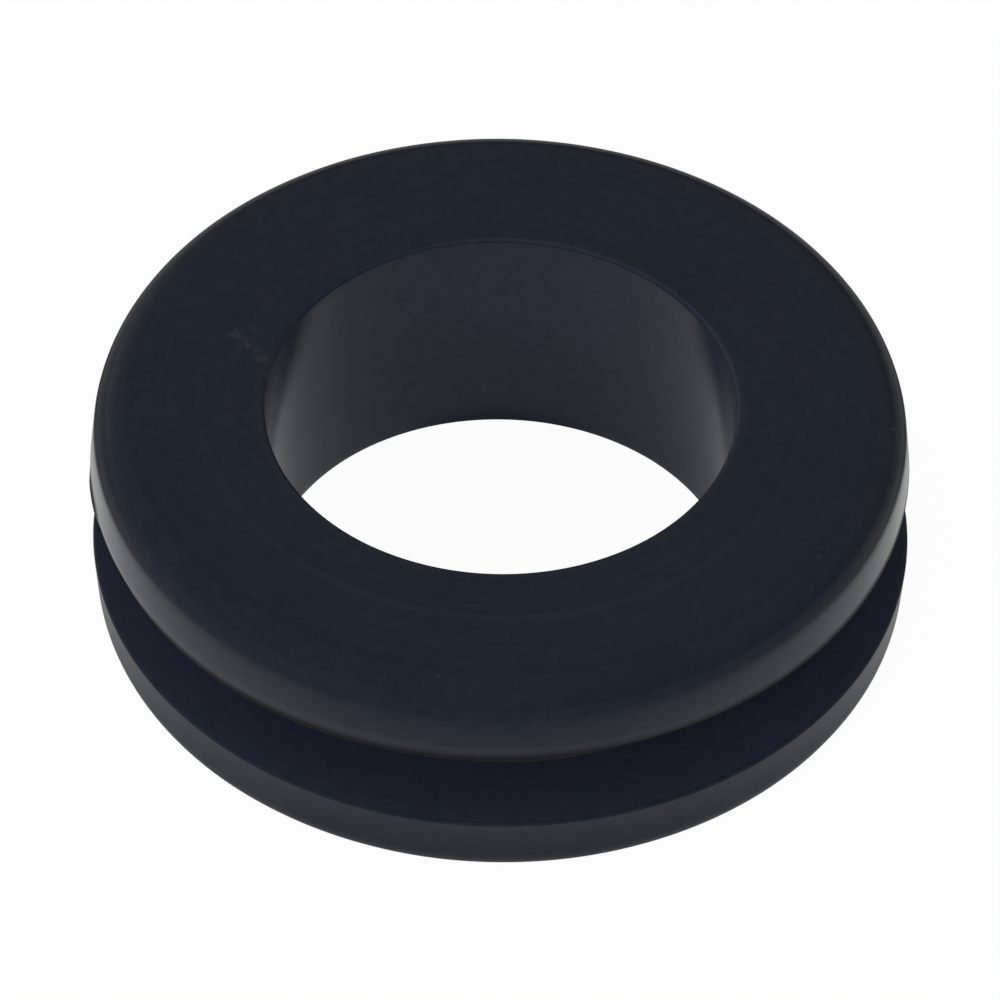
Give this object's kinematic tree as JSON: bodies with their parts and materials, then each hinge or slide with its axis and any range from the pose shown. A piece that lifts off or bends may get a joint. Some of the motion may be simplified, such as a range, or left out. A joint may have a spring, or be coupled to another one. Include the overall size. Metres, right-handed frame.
{
  "type": "rubber grommet",
  "caption": "Round moulded rubber grommet with a straight bore and an outer groove between two flanges, to line a panel hole.",
  "frame": {"origin": "on the axis of the bore, at the bottom face, which is the face that the grommet rests on", "axes": "+Z along the axis of the bore, from the bottom face to the top face; X and Y are any two directions across it, because the form is the same all round"},
  "size_m": [0.0222, 0.0222, 0.0071],
  "materials": {
    "rubber": "moulded, matt to satin, with a faint bloom"
  },
  "bodies": {
    "root": {"grommet": "rubber"}
  },
  "joints": []
}
